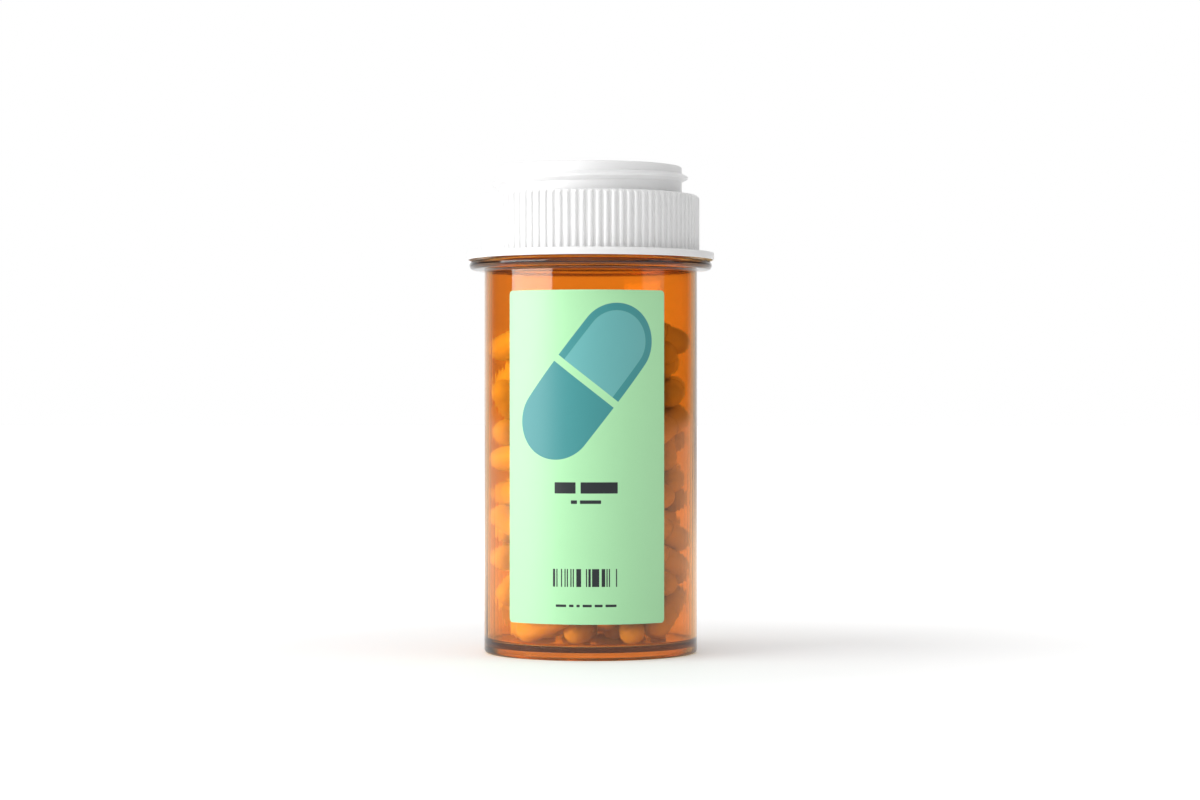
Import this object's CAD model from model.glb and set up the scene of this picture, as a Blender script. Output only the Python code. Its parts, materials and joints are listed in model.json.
import json
import math

import bmesh
import bpy
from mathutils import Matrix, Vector

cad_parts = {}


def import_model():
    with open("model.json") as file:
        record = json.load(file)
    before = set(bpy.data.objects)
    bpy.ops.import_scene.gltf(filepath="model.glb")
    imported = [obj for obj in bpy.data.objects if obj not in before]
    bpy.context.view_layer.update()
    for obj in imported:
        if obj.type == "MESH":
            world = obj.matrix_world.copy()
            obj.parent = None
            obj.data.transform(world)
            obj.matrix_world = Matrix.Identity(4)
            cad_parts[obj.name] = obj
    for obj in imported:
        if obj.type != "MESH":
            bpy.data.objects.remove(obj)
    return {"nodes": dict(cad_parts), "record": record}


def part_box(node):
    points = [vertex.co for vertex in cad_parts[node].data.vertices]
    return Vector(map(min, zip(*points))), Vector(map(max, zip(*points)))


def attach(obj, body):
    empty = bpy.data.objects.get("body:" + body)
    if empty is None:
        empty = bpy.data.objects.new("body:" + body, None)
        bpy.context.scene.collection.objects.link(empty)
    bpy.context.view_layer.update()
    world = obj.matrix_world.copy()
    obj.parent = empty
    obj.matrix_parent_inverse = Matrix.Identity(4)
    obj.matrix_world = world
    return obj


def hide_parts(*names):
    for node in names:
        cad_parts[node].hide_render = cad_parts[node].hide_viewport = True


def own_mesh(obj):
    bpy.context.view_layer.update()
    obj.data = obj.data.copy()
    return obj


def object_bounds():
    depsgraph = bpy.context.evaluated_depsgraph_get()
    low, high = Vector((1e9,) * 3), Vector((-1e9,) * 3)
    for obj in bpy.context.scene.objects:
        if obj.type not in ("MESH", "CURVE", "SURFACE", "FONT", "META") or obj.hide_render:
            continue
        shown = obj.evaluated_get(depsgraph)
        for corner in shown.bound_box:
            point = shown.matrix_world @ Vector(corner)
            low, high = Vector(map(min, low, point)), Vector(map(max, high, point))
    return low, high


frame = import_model()
cadLow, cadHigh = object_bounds()
nodes = frame["nodes"]
behaviour = frame["record"]["behaviour"]
bodyOf = {node: body for body, members in behaviour["bodies"].items() for node in members}
slotOf = {part["node"]: part["material_slot"] for part in frame["record"]["subparts"]}
jointOf = {joint["name"]: joint for joint in behaviour["joints"]}
mm = 0.001
print("frame loaded:", len(nodes), "nodes")


class Wire:
    # a socket that can stand in a Python expression
    def __init__(self, look, socket):
        self.look = look
        self.socket = socket

    def maths(self, operation, *others, clamp=False):
        values = dict(enumerate((self,) + others))
        return self.look.add("ShaderNodeMath", {"operation": operation, "use_clamp": clamp}, values)

    def __add__(self, other):
        return self.maths("ADD", other)

    __radd__ = __add__

    def __sub__(self, other):
        return self.maths("SUBTRACT", other)

    def __rsub__(self, other):
        return self.look.add("ShaderNodeMath", {"operation": "SUBTRACT"}, {0: other, 1: self})

    def __mul__(self, other):
        return self.maths("MULTIPLY", other)

    __rmul__ = __mul__

    def __truediv__(self, other):
        return self.maths("DIVIDE", other)

    def __abs__(self):
        return self.maths("ABSOLUTE")

    def atLeast(self, other):
        return self.maths("MAXIMUM", other)

    def atMost(self, other):
        return self.maths("MINIMUM", other)

    def clamped(self):
        return self.maths("ADD", 0.0, clamp=True)


class Look:
    # a material or a world, with one method that adds any node
    def __init__(self, name, kind="materials"):
        self.material = getattr(bpy.data, kind).new(name)
        self.material.use_nodes = True
        self.tree = self.material.node_tree
        self.tree.nodes.clear()

    def add(self, kind, settings=None, values=None, output=0):
        node = self.tree.nodes.new(kind)
        for key, value in (settings or {}).items():
            setattr(node, key, value)
        for key, value in (values or {}).items():
            if isinstance(value, Wire):
                self.tree.links.new(value.socket, node.inputs[key])
            else:
                node.inputs[key].default_value = value
        return Wire(self, node.outputs[output])

    def place(self):
        return self.add("ShaderNodeTexCoord", output="Object")

    def noise(self, size, detail=3.0):
        # noise whose blobs are about `size` metres across
        return self.add("ShaderNodeTexNoise", None, {
            "Vector": self.place(), "Scale": 1 / size, "Detail": detail})

    def mixColour(self, share, first, second):
        values = {0: share, 6: first, 7: second}
        return self.add("ShaderNodeMix", {"data_type": "RGBA"}, values, output=2)

    def bump(self, height, distance, strength=1.0):
        return self.add("ShaderNodeBump", None, {
            "Height": height, "Distance": distance, "Strength": strength})

    def axes(self, place):
        return [self.add("ShaderNodeSeparateXYZ", None, {0: place}, output=axis) for axis in range(3)]

    def finish(self, shader, volume=None, kind="ShaderNodeOutputMaterial"):
        out = self.tree.nodes.new(kind)
        self.tree.links.new(shader.socket, out.inputs["Surface"])
        if volume:
            self.tree.links.new(volume.socket, out.inputs["Volume"])
        return self.material


def rgb(red, green, blue):
    return (red, green, blue, 1.0)


def dimmed(colour, share):
    return tuple(share * part for part in colour[:3]) + (1.0,)


amberLook = {
    "tint": rgb(0.94, 0.46, 0.085),       # what one wall passes to the eye
    "skinTint": rgb(1.0, 0.98, 0.50),     # what each face passes from a lamp
    "deepTint": rgb(0.60, 0.45, 0.30),    # what its depth passes
    "density": 110.0,                     # per metre
    "ior": 1.49,
    "specular": 0.5,
    "roughness": 0.06,
    "waveSize": 9 * mm,                   # the faint ripple of the moulding
    "waveDepth": 0.008 * mm,
    "smudgeSize": 6 * mm,
    "smudgeRoughness": 0.10,
}


def amberPlastic():
    look = Look("amberPlastic")
    wave = look.noise(amberLook["waveSize"], detail=2.0)
    smudge = look.noise(amberLook["smudgeSize"], detail=5.0)
    rough = (smudge - 0.5).atLeast(0.0) * amberLook["smudgeRoughness"] + amberLook["roughness"]
    plastic = look.add("ShaderNodeBsdfPrincipled", None, {
        "Base Color": amberLook["tint"], "Roughness": rough, "IOR": amberLook["ior"],
        "Transmission Weight": 1.0, "Specular IOR Level": amberLook["specular"],
        "Normal": look.bump(wave, amberLook["waveDepth"], 0.5)})
    throughLight = look.add("ShaderNodeBsdfTransparent", None, {"Color": amberLook["skinTint"]})
    shadowRay = look.add("ShaderNodeLightPath", output="Is Shadow Ray")
    shader = look.add("ShaderNodeMixShader", None, {0: shadowRay, 1: plastic, 2: throughLight})
    depth = look.add("ShaderNodeVolumeAbsorption", None, {
        "Color": amberLook["deepTint"], "Density": amberLook["density"]})
    return look.finish(shader, depth)


whiteLook = {
    "colour": rgb(0.84, 0.84, 0.84),
    "shade": rgb(0.80, 0.80, 0.80),
    "roughness": 0.34,
    "springRoughness": 0.42,
    "flow": 7 * mm,        # size of the paler and darker patches
    "grain": 0.6 * mm,
    "grainRoughness": 0.12,
    "grainDepth": 0.003 * mm,
    "springGrainDepth": 0.006 * mm,
    "glowShare": 0.15,
    "glowDepth": 1.2 * mm,
}


def whitePlastic(name, roughness, grainDepth):
    look = Look(name)
    flow = look.noise(whiteLook["flow"], detail=4.0)
    grain = look.noise(whiteLook["grain"], detail=3.0)
    spread = whiteLook["grainRoughness"]
    shader = look.add("ShaderNodeBsdfPrincipled", None, {
        "Base Color": look.mixColour(flow, whiteLook["colour"], whiteLook["shade"]),
        "Roughness": grain * spread + (roughness - spread / 2), "IOR": 1.49,
        "Subsurface Weight": whiteLook["glowShare"], "Subsurface Radius": (1.0, 1.0, 1.0),
        "Subsurface Scale": whiteLook["glowDepth"],
        "Normal": look.bump(grain, grainDepth, 0.4)})
    return look.finish(shader)


foamLook = {
    "cellSize": 0.35 * mm,
    "cellDepth": 0.05 * mm,
    "cellWall": rgb(0.70, 0.70, 0.67),
    "cellMiddle": rgb(0.84, 0.84, 0.81),
    "roughness": 0.8,
}


def foam():
    look = Look("linerFoam")
    cells = look.add("ShaderNodeTexVoronoi", {"feature": "DISTANCE_TO_EDGE"}, {
        "Vector": look.place(), "Scale": 1 / foamLook["cellSize"]})
    shader = look.add("ShaderNodeBsdfPrincipled", None, {
        "Base Color": look.mixColour(cells.clamped(), foamLook["cellWall"], foamLook["cellMiddle"]),
        "Roughness": foamLook["roughness"], "Normal": look.bump(cells, foamLook["cellDepth"])})
    return look.finish(shader)


capsuleLook = {
    "body": rgb(0.95, 0.92, 0.79),
    "cap": rgb(0.93, 0.88, 0.71),
    "roughness": 0.23,
    "coat": 0.3,
    "coatRoughness": 0.1,
    "blotch": 2.5 * mm,
    "blotchRoughness": 0.15,
    "darkShare": 0.90,     # how bright the darkest blotches are
    "dimple": 0.8 * mm,
    "dimpleDepth": 0.01 * mm,
}


def gelatin(name, colour):
    look = Look(name)
    blotch = look.noise(capsuleLook["blotch"], detail=4.0)
    dark = dimmed(colour, capsuleLook["darkShare"])
    shader = look.add("ShaderNodeBsdfPrincipled", None, {
        "Base Color": look.mixColour(blotch, dark, colour),
        "Roughness": blotch * capsuleLook["blotchRoughness"] + capsuleLook["roughness"], "IOR": 1.5,
        "Coat Weight": capsuleLook["coat"], "Coat Roughness": capsuleLook["coatRoughness"],
        "Normal": look.bump(look.noise(capsuleLook["dimple"]), capsuleLook["dimpleDepth"], 0.5)})
    return look.finish(shader)


# The label is read in millimetres: u runs round the vial from its middle, v up from its middle
labelLook = {
    "paper": rgb(0.405, 0.77, 0.42),
    "teal": rgb(0.045, 0.27, 0.28),
    "paleTeal": rgb(0.13, 0.42, 0.42),
    "ink": rgb(0.012, 0.016, 0.02),
    "middleAngle": -2.3,
    "edge": 0.06,          # softness of printed edges
    "fibre": 0.25 * mm,
    "fibreShade": 0.96,
    "tooth": 0.18 * mm,
    "toothDepth": 0.006 * mm,
    "toothRoughness": 0.1,
    "roughness": 0.36,
    "inkGloss": 0.08,      # how much smoother the print is than the paper
    "sign": {"up": 18.2, "turn": 52, "length": 24.5, "radius": 9.2, "rim": 1.8, "gap": 0.9},
    "stripe": 0.29,        # width of the narrowest stripe in the bar pattern
    "codeGaps": 0.47,      # share of its stripes left bare
    "code": {"up": -29.0, "width": 16.8, "height": 4.3, "round": 0.06},
    # rows of bars: height up the label, thickness, gap, and the length of each bar
    "rows": (
        (-7.4, 2.7, 1.2, (5.2, 9.0)),
        (-10.8, 0.85, 0.7, (1.5, 5.1)),
        (-35.7, 0.6, 0.7, (2.6, 1.1, 0.8, 2.2, 1.9, 2.7))),
}


def labelPrint():
    look = Look("labelPrint")
    low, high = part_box("label")
    radius = -low.y / mm
    middleHeight = (low.z + high.z) / 2 / mm
    x, y, z = look.axes(look.place())
    angle = x.maths("ARCTAN2", y * -1.0)
    u = (angle - math.radians(labelLook["middleAngle"])) * radius
    v = z / mm - middleHeight

    def filled(distance):
        return (0.5 - distance / labelLook["edge"]).clamped()

    def bar(across, up, width, height, round=0.15):
        dx = (abs(u - across) - (width / 2 - round)).atLeast(0.0)
        dy = (abs(v - up) - (height / 2 - round)).atLeast(0.0)
        return filled((dx * dx + dy * dy).maths("SQRT") - round)

    # a tilted capsule sign: one half solid, the other an outline round a paler middle
    sign = labelLook["sign"]
    cosine, sine = math.cos(math.radians(sign["turn"])), math.sin(math.radians(sign["turn"]))
    rise = v - sign["up"]
    along = u * cosine + rise * sine
    beside = rise * cosine - u * sine
    past = along - along.atLeast(-sign["length"] / 2).atMost(sign["length"] / 2)
    fromSpine = (past * past + beside * beside).maths("SQRT")
    outline = filled(fromSpine - sign["radius"])
    inner = filled(fromSpine - (sign["radius"] - sign["rim"]))
    upperHalf = filled(sign["gap"] - along)
    solid = outline * filled(along + sign["gap"])
    ring = outline * upperHalf * (1 - inner)
    pale = inner * upperHalf

    # a bar pattern that codes nothing, and rows of bars for the lines of print
    code = labelLook["code"]
    stripes = (u / labelLook["stripe"]).maths("FLOOR")
    chance = look.add("ShaderNodeTexWhiteNoise", {"noise_dimensions": "1D"}, {"W": stripes})
    block = bar(0, code["up"], code["width"], code["height"], code["round"])
    ink = chance.maths("GREATER_THAN", labelLook["codeGaps"]) * block
    for up, height, gap, lengths in labelLook["rows"]:
        start = -(sum(lengths) + gap * (len(lengths) - 1)) / 2
        for length in lengths:
            ink = ink.atLeast(bar(start + length / 2, up, length, height))
            start += length + gap

    paper = look.mixColour(look.noise(labelLook["fibre"], detail=4.0), labelLook["paper"],
                           dimmed(labelLook["paper"], labelLook["fibreShade"]))
    colour = look.mixColour(pale, paper, labelLook["paleTeal"])
    colour = look.mixColour(solid.atLeast(ring), colour, labelLook["teal"])
    colour = look.mixColour(ink, colour, labelLook["ink"])
    tooth = look.noise(labelLook["tooth"], detail=3.0)
    rough = tooth * labelLook["toothRoughness"] + labelLook["roughness"]
    shader = look.add("ShaderNodeBsdfPrincipled", None, {
        "Base Color": colour, "Roughness": rough - ink * labelLook["inkGloss"],
        "Normal": look.bump(tooth, labelLook["toothDepth"], 0.5)})
    return look.finish(shader)


looks = {
    "amber_plastic": amberPlastic(),
    "label_paper": labelPrint(),
    "liner_foam": foam(),
    "spring_plastic": whitePlastic(
        "springPlastic", whiteLook["springRoughness"], whiteLook["springGrainDepth"]),
    "white_plastic": whitePlastic(
        "whitePlastic", whiteLook["roughness"], whiteLook["grainDepth"]),
    "capsule_body_shell": gelatin("capsuleBodyShell", capsuleLook["body"]),
    "capsule_cap_shell": gelatin("capsuleCapShell", capsuleLook["cap"]),
}
print("finishes made:", len(looks))


# Each CAD shape is copied, joined up and smoothed
smoothing = {
    "mergeDistance": 0.002 * mm,
    "sharpAngle": {"cap": 38, "vial_body": 33, "label": 40, "seal_liner": 40, "spring_disc": 35},
    "capsuleAngle": 50,
    # heights, in millimetres, of the loops that keep walls looking straight beside a rounding
    "loops": {
        "vial_body": (0.95, 4.15, 94.25, 95.2, 97.7, 107.7),
        "cap": (99.45, 112.1, 113.65, 114.15, 120.05)},
}


def smoothPiece(node):
    shape = bmesh.new()
    shape.from_mesh(nodes[node].data)
    bmesh.ops.remove_doubles(shape, verts=shape.verts, dist=smoothing["mergeDistance"])
    for height in smoothing["loops"].get(node, ()):
        everything = shape.verts[:] + shape.edges[:] + shape.faces[:]
        bmesh.ops.bisect_plane(
            shape, geom=everything, plane_co=(0, 0, height * mm), plane_no=(0, 0, 1))
    limit = math.radians(smoothing["sharpAngle"].get(node, smoothing["capsuleAngle"]))
    for face in shape.faces:
        face.smooth = True
        face.material_index = 0
    for edge in shape.edges:
        edge.smooth = len(edge.link_faces) == 2 and edge.calc_face_angle(0.0) < limit
    mesh = bpy.data.meshes.new(node + ".skin")
    shape.to_mesh(mesh)
    shape.free()
    mesh.materials.append(looks[slotOf[node]])
    piece = bpy.data.objects.new(node + ".skin", mesh)
    bpy.context.scene.collection.objects.link(piece)
    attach(piece, bodyOf[node])
    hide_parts(node)
    return piece


def squeezeSpring(piece):
    # the disc flattens towards the deck as the cap goes down, and its rim stays on the liner
    low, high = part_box("spring_disc")
    press = jointOf["cap_press"]
    height = high.z - low.z
    1 - press["range_m"][1] / height
    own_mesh(piece)


for node in sorted(nodes):
    piece = smoothPiece(node)
    if node == "spring_disc":
        squeezeSpring(piece)
print("pieces made:", len(nodes))


stageSetup = {
    "floorSize": 12.0,
    "floorDrop": 0.02 * mm,
    "floorPatch": 40 * mm,
    "floorColour": rgb(0.95, 0.95, 0.95),
    "floorShade": rgb(0.94, 0.94, 0.94),
    "floorRoughness": 0.7,
    "glowStart": 0.08,     # how far out the floor begins to brighten
    "glowWidth": 0.30,
    "nearGlow": rgb(0.12, 0.12, 0.12),
    "seenGlow": rgb(0.75, 0.75, 0.75),     # far out, as the camera sees it
    "litGlow": rgb(0.30, 0.30, 0.30),      # far out, as it lights the object
    "behindStart": 0.55,   # how far round to the back its light begins, with 1 right behind
    "behindWidth": 0.42,
    # strength of the light from behind, from all round, from the left and from above
    "behind": 1.05,
    "around": 0.07,
    "left": 0.03,
    "above": 0.66,
}


def floor():
    shape = bmesh.new()
    bmesh.ops.create_grid(shape, x_segments=1, y_segments=1, size=stageSetup["floorSize"] / 2)
    mesh = bpy.data.meshes.new("floor")
    shape.to_mesh(mesh)
    shape.free()
    look = Look("paleFloor")
    x, y = look.axes(look.place())[:2]
    out = ((x * x + y * y).maths("SQRT") - stageSetup["glowStart"]) / stageSetup["glowWidth"]
    seenGlow = look.mixColour(out.clamped(), stageSetup["nearGlow"], stageSetup["seenGlow"])
    litGlow = look.mixColour(out.clamped(), stageSetup["nearGlow"], stageSetup["litGlow"])
    cameraRay = look.add("ShaderNodeLightPath", output="Is Camera Ray")
    shader = look.add("ShaderNodeBsdfPrincipled", None, {
        "Base Color": look.mixColour(
            look.noise(stageSetup["floorPatch"]), stageSetup["floorColour"], stageSetup["floorShade"]),
        "Roughness": stageSetup["floorRoughness"], "Emission Strength": 1.0,
        "Emission Color": look.mixColour(cameraRay, litGlow, seenGlow)})
    mesh.materials.append(look.finish(shader))
    piece = bpy.data.objects.new("floor", mesh)
    piece.location.z = cadLow.z - stageSetup["floorDrop"]
    bpy.context.scene.collection.objects.link(piece)


def world():
    look = Look("studio", "worlds")
    x, y, z = look.axes(look.add("ShaderNodeTexCoord", output="Generated"))
    behind = (y - stageSetup["behindStart"]) / stageSetup["behindWidth"]
    behind = behind.clamped() * stageSetup["behind"]
    around = stageSetup["around"] - x * stageSetup["left"] + z.atLeast(0.0) * stageSetup["above"]
    light = look.add("ShaderNodeBackground", None, {
        "Color": rgb(1, 1, 1), "Strength": behind.atLeast(around)})
    seen = look.add("ShaderNodeBackground", None, {"Color": rgb(1, 1, 1), "Strength": 1.0})
    shader = look.add("ShaderNodeMixShader", None, {
        0: look.add("ShaderNodeLightPath", output="Is Camera Ray"), 1: light, 2: seen})
    bpy.context.scene.world = look.finish(shader, kind="ShaderNodeOutputWorld")


# Each softbox: degrees to the left of the view, then metres, then brightness
softboxes = {
    "keySoftbox": {
        "turn": 68, "height": 0.25, "distance": 1.0, "width": 1.0, "tall": 0.5, "radiance": 6.0},
    "sideCard": {
        "turn": -70, "height": 0.15, "distance": 1.1, "width": 0.55, "tall": 0.9, "radiance": 0.8},
    "frontCard": {
        "turn": 15, "height": 0.55, "distance": 0.9, "width": 0.5, "tall": 0.4, "radiance": 0.9},
    "topSoftbox": {
        "turn": 20, "height": 1.3, "distance": 0.25, "width": 1.3, "tall": 1.3, "radiance": 0.8},
}


def softbox(name, box):
    lamp = bpy.data.lights.new(name, "AREA")
    lamp.shape = "RECTANGLE"
    lamp.size = box["width"]
    lamp.size_y = box["tall"]
    lamp.energy = box["radiance"] * math.pi * box["width"] * box["tall"]
    light = bpy.data.objects.new(name, lamp)
    turn = math.radians(box["turn"])
    light.location = (
        -math.sin(turn) * box["distance"], -math.cos(turn) * box["distance"], box["height"])
    aim = Vector((0, 0, (cadLow.z + cadHigh.z) / 2)) - light.location
    light.rotation_euler = aim.to_track_quat("-Z", "Y").to_euler()
    bpy.context.scene.collection.objects.link(light)


cameraSetup = {
    "lens": 85, "sensor": 36, "nearest": 0.02,
    "distance": 0.706, "across": 2.3 * mm, "height": 62.7 * mm}


def camera():
    data = bpy.data.cameras.new("camera")
    data.lens = cameraSetup["lens"]
    data.sensor_width = cameraSetup["sensor"]
    data.clip_start = cameraSetup["nearest"]
    piece = bpy.data.objects.new("camera", data)
    piece.location = (cameraSetup["across"], -cameraSetup["distance"], cameraSetup["height"])
    piece.rotation_euler = (math.pi / 2, 0, 0)
    bpy.context.scene.collection.objects.link(piece)
    bpy.context.scene.camera = piece


floor()
world()
for name, box in softboxes.items():
    softbox(name, box)
camera()
bpy.context.scene.view_settings.view_transform = "Standard"
print("stage and camera set")
